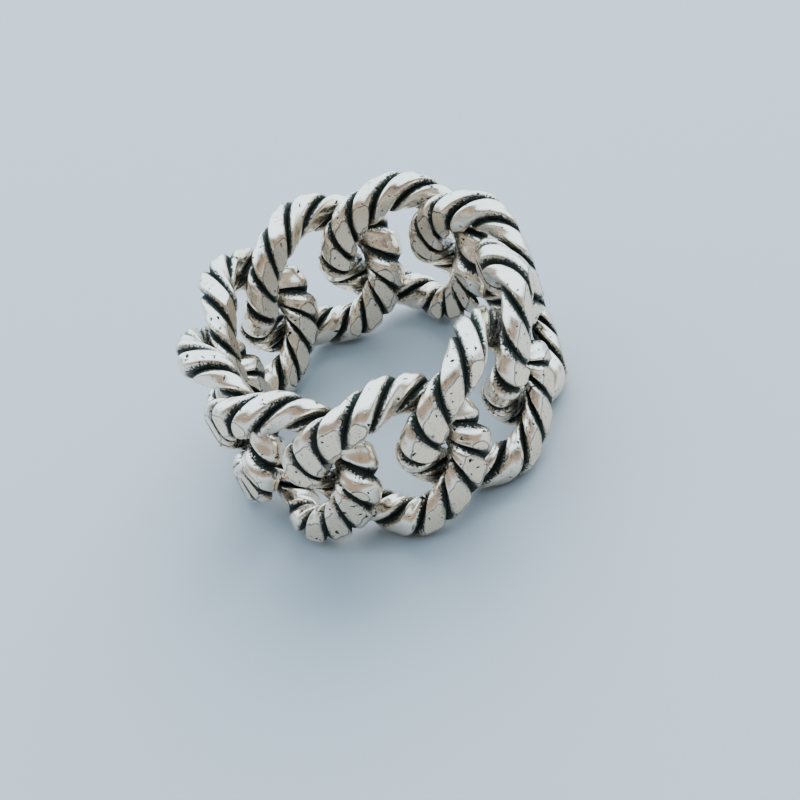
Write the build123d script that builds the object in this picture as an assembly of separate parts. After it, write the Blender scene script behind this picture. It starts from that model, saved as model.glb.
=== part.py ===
from build123d import *

import os
from math import cos, hypot, pi, sin, sqrt, tanh

# A finger ring made as an endless curb chain, in millimetres, with the ring's axis along +Z.
# The origin is on that axis, in the plane that the band's lowest crowns rest on.
# Each link is an oval loop of rope laid up from three wires. Its two long sides pass in front of
# one neighbour and behind the other, so the links hold each other without any pin.
#
# A link is first drawn flat: u runs along the band, v runs up it and w points out of it.
# Then it is bent round the band: u becomes an angle, and w is added to the mean radius.

# Driving dimensions
LINK_COUNT = 9             # links round the band
FINGER_DIAMETER = 17.3     # clear hole, between the polished inner faces
BAND_WALL = 3.3            # from the polished inner faces to the polished outer faces
LINK_HEIGHT = 12.72        # over the rope, along the ring's axis
ROPE_DIAMETER = 2.92       # over the three wires
HOOK_GAP = 0.28            # between two links' ends, side by side where they hook
CROSSING_GAP = 0.10        # between two ropes, one over the other
WIRE_GAP = 0.03            # between the wires of one rope
CROSSING_PRESS = 0.40      # share of the rope's thickness pressed flat where ropes cross
LEAN = 0.07                # how far a link leans along the band for each millimetre of height
POINTEDNESS = 0.035        # how much of a third harmonic makes the link's ends narrower
WEAVE_SHARPNESS = 1.5      # how squarely the rope steps from behind to in front
ROPE_TURNS = 5             # turns of the lay in one link, so that each wire closes on itself
WIRES_PER_ROPE = 3
WIRE_ASPECT = 1.20         # width over thickness of a wire's cut, as it slants across the rope
FIRST_WIRE_ANGLE = 82.0    # where the first wire starts in the rope, at the link's end
SECTIONS_PER_HALF = 40     # stations that a half wire is lofted through
POINTS_PER_EDGE = 6        # steps along each of the two edges of a section
TANGENT_STEP = 1e-4        # radians either side of a point, to measure the outline's direction
ARC_STEPS = 1440           # steps used to measure along the rope

# Worked out from them
mean_radius = FINGER_DIAMETER / 2 + BAND_WALL / 2
inner_radius = mean_radius - BAND_WALL / 2
outer_radius = mean_radius + BAND_WALL / 2
pitch = 2 * pi * mean_radius / LINK_COUNT
rope_radius = ROPE_DIAMETER / 2
half_length = (pitch + ROPE_DIAMETER + HOOK_GAP) / 2
half_height = LINK_HEIGHT / 2 - rope_radius
weave = rope_radius * (1 - CROSSING_PRESS) + CROSSING_GAP / 2
slant_reach = sqrt(sin(pi / WIRES_PER_ROPE) ** 2 + (WIRE_ASPECT * cos(pi / WIRES_PER_ROPE)) ** 2)
wire_half_thickness = (rope_radius * sin(pi / WIRES_PER_ROPE) - WIRE_GAP / 2) / (
    slant_reach + sin(pi / WIRES_PER_ROPE)
)
wire_half_width = WIRE_ASPECT * wire_half_thickness
wire_offset = rope_radius - wire_half_thickness


def centreline(t):
    """The rope's middle at parameter t: its place u, v, w and its side direction in the band."""
    v = half_height * (sin(t) - POINTEDNESS * sin(3 * t)) / (1 + POINTEDNESS)
    dv = half_height * (cos(t) - 3 * POINTEDNESS * cos(3 * t)) / (1 + POINTEDNESS)
    u = half_length * cos(t) + LEAN * v
    du = -half_length * sin(t) + LEAN * dv
    speed = hypot(du, dv)
    step = tanh(WEAVE_SHARPNESS * sin(2 * t)) / tanh(WEAVE_SHARPNESS)
    return u, v, -weave * step, dv / speed, -du / speed, 1 - CROSSING_PRESS * step**2


def bend(u, v, w):
    """A point of the flat link, bent round the band of the first link, which faces -Y."""
    angle = u / mean_radius
    radius = mean_radius + w
    return Vector(radius * sin(angle), -radius * cos(angle), v + LINK_HEIGHT / 2)


def measured_lengths():
    """Share of the rope's length that lies behind each of ARC_STEPS even steps of t."""
    places = [bend(*centreline(2 * pi * i / ARC_STEPS)[:3]) for i in range(ARC_STEPS + 1)]
    lengths = [0.0]
    for before, after in zip(places, places[1:]):
        lengths.append(lengths[-1] + (after - before).length)
    return [length / lengths[-1] for length in lengths]


LENGTH_SHARE = measured_lengths()


def share_of_length(t):
    """Share of the rope's length from the link's end to parameter t, which may pass one turn."""
    turns = t / (2 * pi)
    whole = int(turns // 1)
    step = (turns - whole) * ARC_STEPS
    low = min(int(step), ARC_STEPS - 1)
    inside = LENGTH_SHARE[low] + (LENGTH_SHARE[low + 1] - LENGTH_SHARE[low]) * (step - low)
    return whole + inside


def wire_surface(t, wire, around):
    """A point on one wire's skin: around runs once round the wire, in the rope's section at t."""
    u, v, w, side_u, side_v, thickness = centreline(t)
    lay = 2 * pi * (ROPE_TURNS * share_of_length(t) + wire / WIRES_PER_ROPE)
    lay += FIRST_WIRE_ANGLE * pi / 180
    out = wire_offset + wire_half_thickness * cos(around)
    across = wire_half_width * sin(around)
    side = out * cos(lay) - across * sin(lay)
    lift = (out * sin(lay) + across * cos(lay)) * thickness
    return bend(u + side * side_u, v + side * side_v, w + lift)


def skin_direction(t, wire, around):
    """The direction that the section's outline runs in at one of its points."""
    after = wire_surface(t, wire, around + TANGENT_STEP)
    return (after - wire_surface(t, wire, around - TANGENT_STEP)).normalized()


def wire_section(t, wire):
    """The outline of one wire in the rope's cross-section at t: a smooth curve in two edges."""
    edges = []
    for start in (0, pi):
        angles = [start + pi * i / POINTS_PER_EDGE for i in range(POINTS_PER_EDGE + 1)]
        points = [wire_surface(t, wire, around) for around in angles]
        ends = [skin_direction(t, wire, around) for around in (start, start + pi)]
        edges.append(Edge.make_spline(points, tangents=ends, parameters=angles))
    return Wire(edges)


def half_wire(start, wire):
    """Half of one wire's loop, from the middle of one long side to the middle of the other."""
    sections = []
    for i in range(SECTIONS_PER_HALF + 1):
        sections.append(wire_section(start + pi * i / SECTIONS_PER_HALF, wire))
    return Solid.make_loft(sections)


def polished_band():
    """The space between the finger hole and the outer faces, which every rope is ground to."""
    height = LINK_HEIGHT + 2
    outside = Cylinder(outer_radius, height)
    finger_hole = Cylinder(inner_radius, height)
    return Pos(0, 0, LINK_HEIGHT / 2) * (outside - finger_hole)


def make_wire(wire, band):
    """One closed wire of the first link, with its crowns ground flush with the band's faces."""
    loop = half_wire(pi / 2, wire) + half_wire(-pi / 2, wire)
    return loop & band


def stand_on_plane(wires):
    """Lower the first link's wires, so that their lowest crown touches the plane Z = 0."""
    lowest = min(wire.bounding_box().min.Z for wire in wires)
    return [Pos(0, 0, -lowest) * wire for wire in wires]


def main():
    os.makedirs("parts", exist_ok=True)
    band = polished_band()
    first_link = stand_on_plane([make_wire(wire, band) for wire in range(WIRES_PER_ROPE)])
    for link in range(LINK_COUNT):
        for letter, wire in zip("abc", first_link):
            turned = Rot(0, 0, 360 * link / LINK_COUNT) * wire
            turned.label = f"link_{link + 1}_wire_{letter}"
            export_step(turned, f"parts/{turned.label}.step")


main()
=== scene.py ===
"""A silver finger ring: an endless curb chain of rope links, with dark grooves and ground crowns.

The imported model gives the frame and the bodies. Each closed wire of each link is worked out here
again as a fine numpy surface, which replaces its CAD node and rides on its link's body.

Lengths are in metres. A link is first drawn flat, with u along the band, v up it and w out of it,
and then bent round the band.
"""

import logging
import math
from dataclasses import dataclass, field
from enum import Enum

import bpy
import numpy as np
from mathutils import Matrix, Vector


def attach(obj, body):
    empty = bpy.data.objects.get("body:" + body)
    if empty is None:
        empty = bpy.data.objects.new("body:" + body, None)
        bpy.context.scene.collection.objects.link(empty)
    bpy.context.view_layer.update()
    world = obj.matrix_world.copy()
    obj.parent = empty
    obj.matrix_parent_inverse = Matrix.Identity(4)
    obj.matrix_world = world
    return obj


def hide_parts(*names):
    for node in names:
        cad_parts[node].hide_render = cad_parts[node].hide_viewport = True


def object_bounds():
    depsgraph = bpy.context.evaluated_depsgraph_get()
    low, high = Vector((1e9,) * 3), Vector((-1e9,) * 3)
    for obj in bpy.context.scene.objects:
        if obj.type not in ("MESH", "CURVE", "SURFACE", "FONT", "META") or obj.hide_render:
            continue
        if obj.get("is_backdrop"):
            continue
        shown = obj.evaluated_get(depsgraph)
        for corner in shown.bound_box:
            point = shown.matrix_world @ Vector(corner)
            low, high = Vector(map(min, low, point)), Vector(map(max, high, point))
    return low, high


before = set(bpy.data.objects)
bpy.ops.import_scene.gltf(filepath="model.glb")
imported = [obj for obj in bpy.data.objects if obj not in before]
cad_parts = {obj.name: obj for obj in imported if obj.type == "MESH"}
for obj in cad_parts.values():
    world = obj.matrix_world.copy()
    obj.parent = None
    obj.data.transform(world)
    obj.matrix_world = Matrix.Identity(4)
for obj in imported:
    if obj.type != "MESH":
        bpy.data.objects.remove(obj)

log = logging.getLogger("chain_ring")

MM = 1e-3
TAU = 2 * math.pi


class Lay(Enum):
    """Which way the wires are laid round the rope."""

    LEFT_HAND = 1
    RIGHT_HAND = -1


def smooth_step(value: np.ndarray, low: float, high: float) -> np.ndarray:
    """0 below low, 1 above high and a smooth cubic between them.

    Args:
        value: The numbers to grade.
        low: Where the grade starts.
        high: Where the grade ends.

    Returns:
        Numbers from 0 to 1, in the shape of value.
    """
    share = np.clip((value - low) / (high - low), 0.0, 1.0)
    return share * share * (3.0 - 2.0 * share)


def soft_ramp(value: np.ndarray, width: float) -> np.ndarray:
    """The value where it is above zero and zero below, with the corner rounded over a width.

    Args:
        value: The numbers to limit.
        width: How wide the rounding of the corner is.

    Returns:
        width * log(1 + exp(value / width)), worked out without overflow.
    """
    return np.maximum(value, 0.0) + width * np.log1p(np.exp(-np.abs(value) / width))


@dataclass(frozen=True)
class BandShape:
    """The sizes of the chain, and the formulas that every link follows."""

    link_count: int = 9
    finger_diameter: float = 17.3 * MM
    band_wall: float = 3.3 * MM
    link_height: float = 12.72 * MM
    rope_diameter: float = 2.92 * MM
    hook_gap: float = 0.28 * MM
    crossing_gap: float = 0.10 * MM
    wire_gap: float = 0.03 * MM
    crossing_press: float = 0.40
    lean: float = 0.07
    pointedness: float = 0.035
    weave_sharpness: float = 1.5
    rope_turns: int = 5
    wires_per_rope: int = 3
    wire_aspect: float = 1.20
    first_wire_angle: float = math.radians(82.0)
    lay: Lay = Lay.LEFT_HAND
    length_knots: int = 1441

    @property
    def mean_radius(self) -> float:
        """Radius of the middle of the band's wall."""
        return (self.finger_diameter + self.band_wall) / 2

    @property
    def pitch(self) -> float:
        """Distance from one link to the next, round the middle of the wall."""
        return TAU * self.mean_radius / self.link_count

    @property
    def rope_radius(self) -> float:
        """Radius of the circle round the three wires."""
        return self.rope_diameter / 2

    @property
    def half_length(self) -> float:
        """Half of a link's length, to the middle of the rope."""
        return (self.pitch + self.rope_diameter + self.hook_gap) / 2

    @property
    def half_height(self) -> float:
        """Half of a link's height, to the middle of the rope."""
        return self.link_height / 2 - self.rope_radius

    @property
    def weave(self) -> float:
        """How far the rope steps in and out of the wall's middle."""
        return self.rope_radius * (1 - self.crossing_press) + self.crossing_gap / 2

    @property
    def wire_half_thickness(self) -> float:
        """Half of a wire's thickness, along the rope's radius, so that three just clear."""
        half = math.pi / self.wires_per_rope
        reach = math.hypot(math.sin(half), self.wire_aspect * math.cos(half))
        return (self.rope_radius * math.sin(half) - self.wire_gap / 2) / (reach + math.sin(half))

    def centreline(self, t: np.ndarray) -> tuple[np.ndarray, ...]:
        """The rope's middle line, an oval that leans and weaves.

        v is a sine with a little third harmonic, u is a cosine plus the lean times v, and w is a
        squared-off sine of twice the parameter, so the rope lies behind at two crossings and in
        front at the other two.

        Args:
            t: Parameter round the link, in radians.

        Returns:
            u, v and w, the side direction's u and v, and the share of thickness left by pressing.
        """
        rise = np.sin(t) - self.pointedness * np.sin(3 * t)
        slope = np.cos(t) - 3 * self.pointedness * np.cos(3 * t)
        v = self.half_height * rise / (1 + self.pointedness)
        dv = self.half_height * slope / (1 + self.pointedness)
        u = self.half_length * np.cos(t) + self.lean * v
        du = -self.half_length * np.sin(t) + self.lean * dv
        speed = np.hypot(du, dv)
        step = np.tanh(self.weave_sharpness * np.sin(2 * t)) / math.tanh(self.weave_sharpness)
        return u, v, -self.weave * step, dv / speed, -du / speed, 1 - self.crossing_press * step**2

    def bend(self, u: np.ndarray, v: np.ndarray, w: np.ndarray) -> np.ndarray:
        """Bends points of the flat link round the band of the first link, which faces -Y.

        The angle is u over the mean radius, the radius is the mean radius plus w, and v is height.

        Args:
            u: Places along the band.
            v: Places up the band.
            w: Places out of the band.

        Returns:
            An array of X, Y and Z in its last axis.
        """
        angle = u / self.mean_radius
        radius = self.mean_radius + w
        return np.stack([radius * np.sin(angle), -radius * np.cos(angle), v], axis=-1)

    def share_of_length(self, t: np.ndarray) -> np.ndarray:
        """Share of the rope's length behind parameter t, from summed chords of a fine polygon.

        Args:
            t: Parameter round the link, from 0 to one turn.

        Returns:
            Shares from 0 to 1.
        """
        knots = np.linspace(0.0, TAU, self.length_knots)
        places = self.bend(*self.centreline(knots)[:3])
        lengths = np.concatenate([[0.0], np.cumsum(np.linalg.norm(np.diff(places, axis=0), axis=1))])
        return np.interp(t, knots, lengths / lengths[-1])


@dataclass(frozen=True)
class WaveTexture:
    """Unevenness made of many cosine waves, as casting and hand finishing leave it."""

    waves: int
    shortest: float
    longest: float
    depth: float
    seed: int
    deviations_kept: float = 2.2

    def depth_at(self, points: np.ndarray) -> np.ndarray:
        """How far the skin sinks towards the wire's middle, as a share of its thickness.

        The formula is a sum of cosine waves in random directions, with amplitudes in proportion
        to their lengths, moved and scaled to lie between zero and the depth. What lies further out
        than the kept number of standard deviations is cut off.

        Args:
            points: Places on the skin, with X, Y and Z in the last axis.

        Returns:
            Shares from 0 to the depth.
        """
        draw = np.random.default_rng(self.seed)
        directions = draw.normal(size=(self.waves, 3))
        directions /= np.linalg.norm(directions, axis=1, keepdims=True)
        lengths = self.shortest * (self.longest / self.shortest) ** draw.random(self.waves)
        phases = draw.random(self.waves) * TAU
        total = np.zeros(points.shape[:-1])
        for direction, length, phase in zip(directions, lengths, phases):
            total += length * np.cos(points @ (direction * TAU / length) + phase)
        spread = self.deviations_kept * math.sqrt(0.5 * float(np.sum(lengths**2)))
        return self.depth * np.clip(0.5 + 0.5 * total / spread, 0.0, 1.0)


class NodeBench:
    """Short calls that add shader nodes to one node tree."""

    def __init__(self, tree: bpy.types.NodeTree) -> None:
        """Clears the tree and keeps hold of it."""
        self.tree = tree
        self.tree.nodes.clear()

    def add(self, kind: str, **settings: object) -> bpy.types.Node:
        """Adds one node and sets its properties.

        Args:
            kind: The node's type.
            settings: Properties by name.

        Returns:
            The new node.
        """
        made = self.tree.nodes.new(kind)
        for key, value in settings.items():
            setattr(made, key, value)
        return made

    def feed(self, socket: bpy.types.NodeSocket, value: object) -> None:
        """Links a socket to the input, or sets the input to a number or colour."""
        if isinstance(value, bpy.types.NodeSocket):
            self.tree.links.new(value, socket)
        else:
            socket.default_value = value

    def maths(self, operation: str, first: object, second: object) -> bpy.types.NodeSocket:
        """Adds a Math node on two sockets or numbers, and returns its result."""
        made = self.add("ShaderNodeMath", operation=operation)
        self.feed(made.inputs[0], first)
        self.feed(made.inputs[1], second)
        return made.outputs[0]

    def grade(self, value: object, low: float, high: float, start: float = 0.0, end: float = 1.0) -> object:
        """Maps low..high smoothly to start..end, and returns the result."""
        made = self.add("ShaderNodeMapRange", interpolation_type="SMOOTHSTEP")
        self.feed(made.inputs["Value"], value)
        for key, number in zip(("From Min", "From Max", "To Min", "To Max"), (low, high, start, end)):
            made.inputs[key].default_value = number
        return made.outputs[0]

    def mixed(self, share: object, first: object, second: object) -> bpy.types.NodeSocket:
        """Adds a colour mix of two colours by a share, and returns its result."""
        made = self.add("ShaderNodeMix", data_type="RGBA")
        self.feed(made.inputs["Factor"], share)
        self.feed(made.inputs[6], first)
        self.feed(made.inputs[7], second)
        return made.outputs[2]

    def noise(self, place: object, scale: float, detail: float, roughness: float = 0.5) -> object:
        """Adds a noise pattern at a place, and returns its value."""
        made = self.add("ShaderNodeTexNoise")
        self.feed(made.inputs["Vector"], place)
        self.feed(made.inputs["Scale"], scale)
        self.feed(made.inputs["Detail"], detail)
        self.feed(made.inputs["Roughness"], roughness)
        return made.outputs["Fac"]

    def attribute(self, name: str) -> bpy.types.NodeSocket:
        """Reads one of a piece's own attributes as a number."""
        return self.add("ShaderNodeAttribute", attribute_name=name).outputs["Fac"]


@dataclass(frozen=True)
class OxidisedSilver:
    """Polished silver, with black oxide held in the grooves and specks of it up their sides. Painted shade
    darkens the rims of the ground faces and the flanks beside the grooves, and the ground faces carry a
    painted warm reflection.

    Each pattern scale is in waves per metre. Each edge is the pair of values between which a shade
    grows from none to full. Distances of the cut attribute are in millimetres.
    """

    name: str = "oxidised_silver"
    bright: tuple[float, float, float, float] = (1.0, 0.86, 0.70, 1.0)
    # The ground faces' satin silver, tinted warmer and lighter than the crowns as a painted warm reflection.
    ground_face_and_reflection: tuple[float, float, float, float] = (1.0, 0.79, 0.58, 1.0)
    # Painted shade: the darker silver mixed in at the ground faces' rims and beside the grooves and nooks.
    painted_shade_colour: tuple[float, float, float, float] = (0.22, 0.19, 0.15, 1.0)
    oxide: tuple[float, float, float, float] = (0.008, 0.011, 0.008, 1.0)
    crown_roughness: float = 0.20
    ground_roughness: float = 0.30
    oxide_roughness: float = 0.60
    oxide_shine: float = 0.2
    cloud_scale: float = 700.0
    pit_scale: float = 2600.0
    speckle_scale: float = 7500.0
    grain_scale: float = 15000.0
    ground_edge: tuple[float, float] = (-0.004, 0.012)
    nook_weight: float = 0.56
    oxide_speckle: float = 2.6
    oxide_cloud: float = 0.3
    oxide_polish_edge: tuple[float, float] = (-0.03, 0.02)
    oxide_polish: float = 0.45
    oxide_edge: tuple[float, float] = (1.91, 2.03)
    pit_nook: float = 0.09
    pit_edge: tuple[float, float] = (0.645, 0.70)
    # Painted shade beside the grooves and nooks, spreading wider than the oxide.
    painted_shade_groove: float = 0.8
    painted_shade_speckle: float = 1.8
    painted_shade_cloud: float = 0.35
    painted_shade_edge: tuple[float, float] = (1.10, 1.55)
    painted_shade_most: float = 0.85
    # Painted shade: a broken dark line just outside each ground face's rim.
    painted_rim_outer_edge: tuple[float, float] = (-0.060, -0.025)
    painted_rim_inner_edge: tuple[float, float] = (-0.006, 0.008)
    painted_rim_break: tuple[float, float] = (0.34, 0.54)
    painted_rim_least: float = 0.35
    uneven_polish: float = 0.10
    speckle_height: float = 0.35
    low_strength: float = 0.50
    low_height: float = 0.045 * MM
    fine_strength: float = 0.12
    fine_height: float = 0.02 * MM

    def material(self) -> bpy.types.Material:
        """Builds the procedural material, which reads the wire's own attributes.

        Returns:
            The finished material.
        """
        material = bpy.data.materials.new(self.name)
        material.use_nodes = True
        bench = NodeBench(material.node_tree)
        place = bench.add("ShaderNodeTexCoord").outputs["Object"]
        cloud = bench.noise(place, self.cloud_scale, 3.0)
        speckle = bench.noise(place, self.speckle_scale, 4.0, 0.75)
        grain = bench.noise(place, self.grain_scale, 4.0, 0.6)
        ground = bench.grade(bench.attribute("cut"), *self.ground_edge)
        oxide = self.oxide_share(bench, cloud, speckle)
        dark = bench.maths("MAXIMUM", oxide, self.pit_share(bench, place))
        # Painted shade along the rims of the ground faces.
        rim = self.painted_rim_shade_share(bench, speckle)
        # Painted shade: the rim lines and the darkening beside the grooves and nooks, together.
        painted_shade = bench.maths("MAXIMUM", rim, self.painted_groove_shade_share(bench, cloud, speckle))

        # The silver is darkened by the painted shade, and the ground faces take their painted warm
        # reflection.
        silver = bench.mixed(painted_shade, bench.mixed(ground, self.bright, self.ground_face_and_reflection), self.painted_shade_colour)
        uneven = bench.maths("MULTIPLY", cloud, self.uneven_polish)
        smooth = bench.maths("ADD", uneven, self.crown_roughness - self.uneven_polish / 2)
        satin = bench.maths("MULTIPLY", ground, self.ground_roughness)
        smooth = bench.maths("MAXIMUM", smooth, satin)
        rough = bench.add("ShaderNodeMix", data_type="FLOAT")
        bench.feed(rough.inputs["Factor"], dark)
        bench.feed(rough.inputs[2], smooth)
        bench.feed(rough.inputs[3], self.oxide_roughness)

        shader = bench.add("ShaderNodeBsdfPrincipled")
        bench.feed(shader.inputs["Base Color"], bench.mixed(dark, silver, self.oxide))
        bench.feed(shader.inputs["Metallic"], bench.grade(dark, 0.0, 1.0, 1.0, 0.0))
        bench.feed(shader.inputs["Roughness"], rough.outputs[0])
        bench.feed(shader.inputs["Specular IOR Level"], self.oxide_shine)
        bench.feed(shader.inputs["Normal"], self.relief(bench, dark, speckle, grain))
        output = bench.add("ShaderNodeOutputMaterial")
        bench.feed(output.inputs["Surface"], shader.outputs["BSDF"])
        return material

    def oxide_share(self, bench: NodeBench, cloud: object, speckle: object) -> object:
        """How much black oxide covers a place: full in a groove or nook, and ragged at its edge."""
        nook = bench.maths("MULTIPLY", bench.attribute("nook"), self.nook_weight)
        depth = bench.maths("MAXIMUM", bench.attribute("groove"), nook)
        depth = bench.maths("ADD", depth, bench.maths("MULTIPLY", speckle, self.oxide_speckle))
        depth = bench.maths("ADD", depth, bench.maths("MULTIPLY", cloud, self.oxide_cloud))
        polished = bench.grade(bench.attribute("cut"), *self.oxide_polish_edge, 0.0, self.oxide_polish)
        return bench.grade(bench.maths("SUBTRACT", depth, polished), *self.oxide_edge)

    def pit_share(self, bench: NodeBench, place: object) -> object:
        """Small black casting pits, sparse on the crowns and thick in the nooks."""
        near = bench.maths("MULTIPLY", bench.attribute("nook"), self.pit_nook)
        pits = bench.noise(place, self.pit_scale, 2.0)
        return bench.grade(bench.maths("ADD", pits, near), *self.pit_edge)

    def painted_groove_shade_share(self, bench: NodeBench, cloud: object, speckle: object) -> object:
        """Painted shade: a thin brownish darkening, which spreads further out of the grooves and nooks than
        the oxide does.
        """
        groove = bench.maths("MAXIMUM", bench.attribute("groove"), bench.attribute("nook"))
        spread = bench.maths("MULTIPLY", groove, self.painted_shade_groove)
        spread = bench.maths("ADD", spread, bench.maths("MULTIPLY", speckle, self.painted_shade_speckle))
        spread = bench.maths("ADD", spread, bench.maths("MULTIPLY", cloud, self.painted_shade_cloud))
        return bench.grade(spread, *self.painted_shade_edge, 0.0, self.painted_shade_most)

    def painted_rim_shade_share(self, bench: NodeBench, speckle: object) -> object:
        """Painted shade: a broken dark line just outside the rim of each ground face, where the edge turns.
        """
        cut = bench.attribute("cut")
        outer = bench.grade(cut, *self.painted_rim_outer_edge)
        inner = bench.grade(cut, *self.painted_rim_inner_edge, 1.0, 0.0)
        broken = bench.grade(speckle, *self.painted_rim_break, self.painted_rim_least, 1.0)
        return bench.maths("MULTIPLY", bench.maths("MULTIPLY", outer, inner), broken)

    def relief(self, bench: NodeBench, dark: object, speckle: object, grain: object) -> object:
        """Fine casting grain over everything, and the oxide lying lower than the silver."""
        height = bench.maths("SUBTRACT", bench.maths("MULTIPLY", speckle, self.speckle_height), dark)
        low = bench.add("ShaderNodeBump")
        low.inputs["Strength"].default_value = self.low_strength
        low.inputs["Distance"].default_value = self.low_height
        bench.feed(low.inputs["Height"], height)
        fine = bench.add("ShaderNodeBump")
        fine.inputs["Strength"].default_value = self.fine_strength
        fine.inputs["Distance"].default_value = self.fine_height
        bench.feed(fine.inputs["Height"], grain)
        bench.feed(fine.inputs["Normal"], low.outputs["Normal"])
        return fine.outputs["Normal"]


@dataclass
class WireSkin:
    """One closed wire of the first link, worked out once as a grid of points.

    The crowns are fuller than a plain ellipse and meet in narrow grooves, because the cast
    wires run into each other.
    """

    band: BandShape
    wire: int
    stations: int = 680
    around_steps: int = 42
    aspect: float = 1.40
    fullness: float = 2.6
    spread: float = 0.30
    ground_edge: float = 0.010 * MM
    groove_from: float = math.radians(40.0)
    groove_to: float = math.radians(118.0)
    nook_from: float = 0.02 * MM
    nook_to: float = 1.00 * MM
    line_points: int = 180
    flat: tuple[np.ndarray, ...] = field(init=False)
    middle: np.ndarray = field(init=False)
    groove: np.ndarray = field(init=False)
    nook: np.ndarray = field(init=False)

    def __post_init__(self) -> None:
        """Works out the grid and its shades, which all the links share."""
        t = np.linspace(0.0, TAU, self.stations, endpoint=False)[:, None]
        around = np.linspace(0.0, TAU, self.around_steps, endpoint=False)[None, :]
        self.flat = self.place(t, around, 1.0)
        self.middle = self.band.bend(*self.place(t, around, 0.0))
        self.groove = self.groove_shade(around)
        self.nook = self.nook_shade()

    def place(self, t: np.ndarray, around: np.ndarray, girth: float) -> tuple[np.ndarray, ...]:
        """Points on or inside the wire, in the flat link.

        The rope's section turns steadily along its length. In it the wire is a superellipse, drawn
        at its offset from the rope's middle: an ellipse whose cosine and sine are both divided by
        the p-norm of the pair. The section is then spread: a point's angle round the rope grows by
        the spread times its sine, which widens the crowns on the outside of the link's curve and
        narrows them on its inside. Last, the section's out direction is pressed at crossings.

        Args:
            t: Parameter round the link, in a column.
            around: Parameter round the wire, in a row.
            girth: 1 for the wire's skin, and 0 for its middle.

        Returns:
            u, v and w.
        """
        band = self.band
        u, v, w, side_u, side_v, thickness = band.centreline(t)
        turn = band.rope_turns * band.share_of_length(t) + self.wire / band.wires_per_rope
        angle = band.lay.value * TAU * turn + band.first_wire_angle
        half = band.wire_half_thickness
        powers = np.abs(np.cos(around)) ** self.fullness + np.abs(np.sin(around)) ** self.fullness
        reach = girth * half * powers ** (-1.0 / self.fullness)
        out = band.rope_radius - half + reach * np.cos(around)
        across = self.aspect * reach * np.sin(around)
        bearing = angle + np.arctan2(across, out)
        bearing = bearing + self.spread * np.sin(bearing)
        side = np.hypot(out, across) * np.cos(bearing)
        lift = np.hypot(out, across) * np.sin(bearing) * thickness
        return u + side * side_u, v + side * side_v, w + lift

    def groove_shade(self, around: np.ndarray) -> np.ndarray:
        """Shade that rises from 0 on the wire's crown to 1 deep in the rope's grooves."""
        off_crown = np.abs((around + math.pi) % TAU - math.pi)
        shade = smooth_step(off_crown, self.groove_from, self.groove_to)
        return np.broadcast_to(shade, self.middle.shape[:2])

    def nook_shade(self) -> np.ndarray:
        """Shade where a neighbouring link's rope lies close.

        The gap is the distance to the neighbour's middle line, with w stretched back by the
        pressing, less the rope's radius. The shade falls from 1 at no gap to 0 at a wide one.

        Returns:
            A shade for each point of the grid.
        """
        u, v, w = (part.reshape(-1, 1).astype(np.float32) for part in self.flat)
        t = np.linspace(0.0, TAU, self.line_points, endpoint=False)
        line = (part.astype(np.float32) for part in self.band.centreline(t))
        line_u, line_v, line_w, _, _, thickness = line
        nearest = np.full(u.shape[0], np.inf, dtype=np.float32)
        for shift in (-self.band.pitch, self.band.pitch):
            squared = (u - line_u - np.float32(shift)) ** 2 + (v - line_v) ** 2
            squared += ((w - line_w) / thickness) ** 2
            nearest = np.minimum(nearest, squared.min(axis=1))
        gap = np.sqrt(nearest) - self.band.rope_radius
        return (1.0 - smooth_step(gap, self.nook_from, self.nook_to)).reshape(self.flat[0].shape)

    def skin(self, link: int, lumps: WaveTexture, pitting: WaveTexture) -> tuple[np.ndarray, np.ndarray]:
        """The wire's skin on one link, uneven from casting and ground flush with the band.

        Each point sinks towards the wire's middle by the textures' shares. Then its distance from
        the ring's axis is kept between the band's two polished faces, with soft edges.

        Args:
            link: The link's number, from 0.
            lumps: The unevenness everywhere.
            pitting: The roughness in the nooks.

        Returns:
            The points, and how far the grinding cuts below each one's own place, in millimetres.
        """
        turn = TAU * link / self.band.link_count
        rotation = np.array(
            [[math.cos(turn), math.sin(turn), 0], [-math.sin(turn), math.cos(turn), 0], [0, 0, 1]]
        )
        points = self.band.bend(*self.flat) @ rotation
        middle = self.middle @ rotation
        sunk = lumps.depth_at(points) + pitting.depth_at(points) * self.nook
        points = points + (middle - points) * sunk[..., None]
        radius = np.hypot(points[..., 0], points[..., 1])
        outer = self.band.mean_radius + self.band.band_wall / 2
        inner = self.band.mean_radius - self.band.band_wall / 2
        kept = outer - soft_ramp(outer - radius, self.ground_edge)
        kept = inner + soft_ramp(kept - inner, self.ground_edge)
        points[..., :2] *= (kept / radius)[..., None]
        return points, np.maximum(radius - outer, inner - radius) / MM


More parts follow.
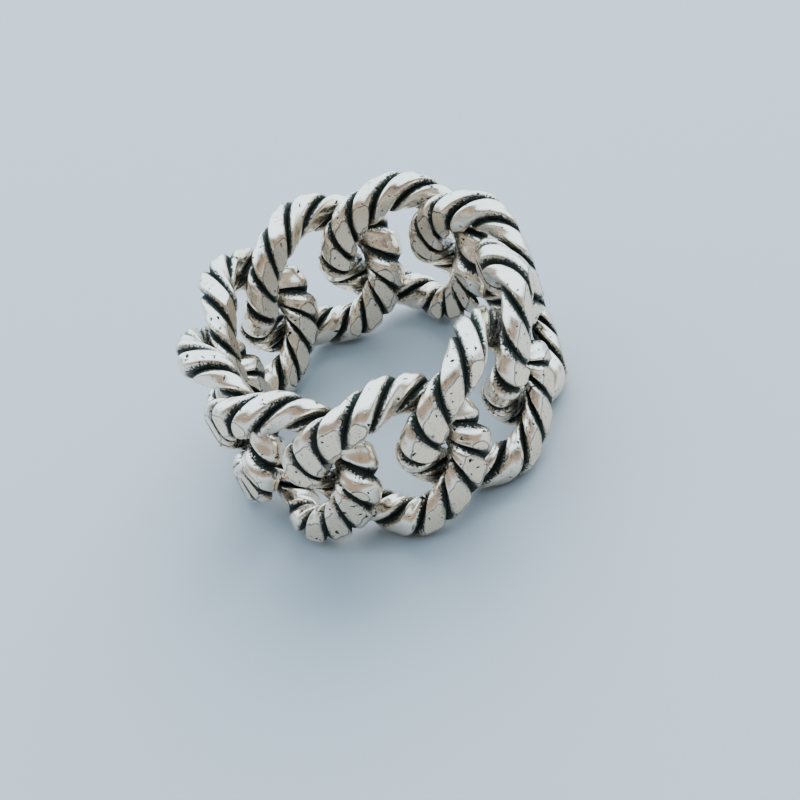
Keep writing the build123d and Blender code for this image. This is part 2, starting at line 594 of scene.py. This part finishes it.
@dataclass
class RopeLink:
    """One link of the chain: three closed wires laid up into a rope."""

    number: int
    skins: list[WireSkin]
    lumps: WaveTexture
    pitting: WaveTexture
    finish: bpy.types.Material
    rest_height: float
    full_height: float

    def build(self) -> list[bpy.types.Object]:
        """Builds the link's three wires, each in place of its CAD node.

        Returns:
            The finished pieces.
        """
        pieces = []
        for letter, skin in zip("abc", self.skins):
            node = f"link_{self.number}_wire_{letter}"
            piece = self.wire_piece(node, skin)
            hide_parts(node)
            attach(piece, f"link_{self.number}")
            log.info("%s: %d faces", piece.name, len(piece.data.polygons))
            pieces.append(piece)
        return pieces

    def wire_piece(self, node: str, skin: WireSkin) -> bpy.types.Object:
        """Makes one wire's mesh from its grid, closed both ways round.

        Args:
            node: The CAD node that the wire stands for.
            skin: The wire's shape.

        Returns:
            The new object, with its groove, nook and cut attributes.
        """
        points, cut = skin.skin(self.number - 1, self.lumps, self.pitting)
        height = points[..., 2] + self.rest_height
        points[..., 2] = self.full_height - soft_ramp(self.full_height - height, skin.ground_edge)
        mesh = closed_grid_mesh(f"{node}_skin", points)
        for name, values in (("groove", skin.groove), ("nook", skin.nook), ("cut", cut)):
            layer = mesh.attributes.new(name, "FLOAT", "POINT")
            layer.data.foreach_set("value", np.ascontiguousarray(values, dtype=np.float32).ravel())
        mesh.materials.append(self.finish)
        piece = bpy.data.objects.new(f"{node}_skin", mesh)
        bpy.context.scene.collection.objects.link(piece)
        return piece


def closed_grid_mesh(name: str, points: np.ndarray) -> bpy.types.Mesh:
    """A mesh of quads over a grid that closes on itself in both directions, like a torus.

    Args:
        name: The mesh's name.
        points: Grid of points, with X, Y and Z in its last axis.

    Returns:
        The mesh, with smooth shading and its faces pointing outwards.
    """
    rows, columns = points.shape[:2]
    index = np.arange(rows * columns, dtype=np.int32).reshape(rows, columns)
    right = np.roll(index, -1, axis=1)
    below = np.roll(index, -1, axis=0)
    corner = np.roll(below, -1, axis=1)
    quads = np.stack([index, right, corner, below], axis=-1).reshape(-1, 4)
    flat = points.reshape(-1, 3)
    a, b, c, d = (flat[quads[:, k]] for k in range(4))
    volume = np.einsum("ij,ij->", a, np.cross(b, c)) + np.einsum("ij,ij->", a, np.cross(c, d))
    if volume < 0:
        quads = quads[:, ::-1]
    mesh = bpy.data.meshes.new(name)
    mesh.vertices.add(len(flat))
    mesh.vertices.foreach_set("co", flat.astype(np.float32).ravel())
    mesh.loops.add(quads.size)
    mesh.loops.foreach_set("vertex_index", np.ascontiguousarray(quads).ravel())
    mesh.polygons.add(len(quads))
    mesh.polygons.foreach_set("loop_start", np.arange(0, quads.size, 4, dtype=np.int32))
    mesh.polygons.foreach_set("use_smooth", np.ones(len(quads), dtype=bool))
    mesh.update(calc_edges=True)
    return mesh


@dataclass
class ChainRing:
    """The whole ring: nine links, hooked through each other into an endless band."""

    band: BandShape = field(default_factory=BandShape)
    lumps: WaveTexture = WaveTexture(waves=26, shortest=0.6 * MM, longest=3.2 * MM, depth=0.07, seed=41)
    pitting: WaveTexture = WaveTexture(waves=40, shortest=0.30 * MM, longest=0.8 * MM, depth=0.16, seed=7)
    finish: OxidisedSilver = field(default_factory=OxidisedSilver)

    def build(self) -> list[bpy.types.Object]:
        """Builds every link in order.

        Returns:
            All the pieces.
        """
        skins = [WireSkin(self.band, wire) for wire in range(self.band.wires_per_rope)]
        lowest = min(float(self.band.bend(*skin.flat)[..., 2].min()) for skin in skins)
        full_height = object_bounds()[1][2]
        material = self.finish.material()
        pieces = []
        for number in range(1, self.band.link_count + 1):
            link = RopeLink(number, skins, self.lumps, self.pitting, material, -lowest, full_height)
            pieces += link.build()
        return pieces


@dataclass
class PaleFloor:
    """A plain pale surface for the ring to stand on."""

    half_width: float = 0.6
    colour: tuple[float, float, float, float] = (0.300, 0.320, 0.332, 1.0)
    roughness: float = 0.75
    shine: float = 0.25

    def build(self) -> bpy.types.Object:
        """Builds the floor just under the ring's lowest crowns.

        Returns:
            The staged floor.
        """
        edge = self.half_width
        mesh = bpy.data.meshes.new("floor")
        corners = [(-edge, -edge, 0.0), (edge, -edge, 0.0), (edge, edge, 0.0), (-edge, edge, 0.0)]
        mesh.from_pydata(corners, [], [(0, 1, 2, 3)])
        floor = bpy.data.objects.new("floor", mesh)
        bpy.context.scene.collection.objects.link(floor)
        material = bpy.data.materials.new("pale_floor")
        material.use_nodes = True
        shader = material.node_tree.nodes["Principled BSDF"]
        shader.inputs["Base Color"].default_value = self.colour
        shader.inputs["Roughness"].default_value = self.roughness
        shader.inputs["Specular IOR Level"].default_value = self.shine
        mesh.materials.append(material)
        floor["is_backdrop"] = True
        return floor


@dataclass
class LightTent:
    """A white tent round the ring, lit from above and behind, with a dark slit for the lens.

    The tent is the world's light: a warm wall that brightens smoothly to a cool window. A square
    panel above and behind adds the soft shadow, and the silver doesn't mirror it. The window's and
    the slit's edges are cosines of the angle from their middles.
    """

    wall: tuple[float, float, float, float] = (1.02, 0.90, 0.77, 1.0)
    window: tuple[float, float, float, float] = (4.8, 6.6, 8.3, 1.0)
    slit: tuple[float, float, float, float] = (0.20, 0.14, 0.10, 1.0)
    window_way: tuple[float, float, float] = (0.15, 0.75, 0.85)
    slit_way: tuple[float, float, float] = (0.135, -0.744, 0.654)
    window_edge: tuple[float, float] = (0.06, 0.34)
    slit_edge: tuple[float, float] = (0.950, 0.992)
    strength: float = 0.43
    panel_size: float = 0.55
    panel_power: float = 8.0
    panel_place: tuple[float, float, float] = (0.14, 0.34, 0.32)
    panel_colour: tuple[float, float, float] = (0.93, 0.97, 1.0)

    def build(self) -> None:
        """Sets the world's light and hangs the panel."""
        world = bpy.data.worlds.new("light_tent")
        world.use_nodes = True
        bench = NodeBench(world.node_tree)
        way = bench.add("ShaderNodeTexCoord").outputs["Generated"]
        lit = bench.grade(self.along(bench, way, self.window_way), *self.window_edge)
        dark = bench.grade(self.along(bench, way, self.slit_way), *self.slit_edge)
        tent = bench.mixed(lit, self.wall, self.window)
        background = bench.add("ShaderNodeBackground")
        bench.feed(background.inputs["Color"], bench.mixed(dark, tent, self.slit))
        background.inputs["Strength"].default_value = self.strength
        output = bench.add("ShaderNodeOutputWorld")
        bench.feed(output.inputs["Surface"], background.outputs["Background"])
        bpy.context.scene.world = world
        self.hang_panel()

    def along(self, bench: NodeBench, way: object, target: tuple[float, float, float]) -> object:
        """The cosine of the angle between a direction and a target direction."""
        made = bench.add("ShaderNodeVectorMath", operation="DOT_PRODUCT")
        bench.feed(made.inputs[0], way)
        bench.feed(made.inputs[1], Vector(target).normalized())
        return made.outputs["Value"]

    def hang_panel(self) -> None:
        """Hangs the overhead panel, aimed at the ring."""
        panel = bpy.data.lights.new("overhead_panel", "AREA")
        panel.shape = "SQUARE"
        panel.size = self.panel_size
        panel.energy = self.panel_power
        panel.color = self.panel_colour
        lamp = bpy.data.objects.new("overhead_panel", panel)
        lamp.visible_glossy = False
        place = Vector(self.panel_place)
        lamp.matrix_world = Matrix.Translation(place) @ (-place).to_track_quat("-Z", "Y").to_matrix().to_4x4()
        bpy.context.scene.collection.objects.link(lamp)


@dataclass
class RingCamera:
    """A close camera that looks down into the ring, turned a little about its own line of sight.

    It is aimed beside the ring's middle, by shares of the sensor's width to the right and upwards.
    The throw that turns those into angles is the lens over the sensor's width, rounded.
    """

    azimuth: float = math.radians(10.33)
    elevation: float = math.radians(40.87)
    roll: float = math.radians(23.13)
    distance: float = 0.1212
    lens: float = 82.1
    sensor: float = 36.0
    aim_right: float = -0.0328
    aim_up: float = 0.0580
    throw: float = 2.28
    nearest: float = 0.005

    def build(self, centre: Vector) -> bpy.types.Object:
        """Places the camera about the ring's middle.

        Args:
            centre: The middle of the ring.

        Returns:
            The scene's camera.
        """
        data = bpy.data.cameras.new("camera")
        data.lens = self.lens
        data.sensor_width = self.sensor
        data.clip_start = self.nearest
        camera = bpy.data.objects.new("camera", data)
        bpy.context.scene.collection.objects.link(camera)
        level = Vector((math.cos(self.azimuth), math.sin(self.azimuth), 0.0))
        back = Vector((math.sin(self.azimuth), -math.cos(self.azimuth), 0.0)) * math.cos(self.elevation)
        back += Vector((0.0, 0.0, math.sin(self.elevation)))
        rise = back.cross(level)
        right = math.cos(self.roll) * level - math.sin(self.roll) * rise
        up = math.sin(self.roll) * level + math.cos(self.roll) * rise
        turn = Matrix((right, up, back)).transposed().to_4x4()
        place = centre + back * self.distance
        tilt = Matrix.Rotation(math.atan(self.aim_right / self.throw), 4, "Y")
        nod = Matrix.Rotation(math.atan(-self.aim_up / self.throw), 4, "X")
        camera.matrix_world = Matrix.Translation(place) @ turn @ tilt @ nod
        bpy.context.scene.camera = camera
        return camera


def main() -> None:
    """Builds the ring, the floor, the light and the camera."""
    logging.basicConfig(level=logging.INFO)
    cad_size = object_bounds()
    PaleFloor().build()
    LightTent().build()
    low, high = (Vector(corner) for corner in cad_size)
    RingCamera().build(Vector((0.0, 0.0, (low.z + high.z) / 2)))
    pieces = ChainRing().build()
    log.info("%d wires in place", len(pieces))


if __name__ == "__main__":
    main()
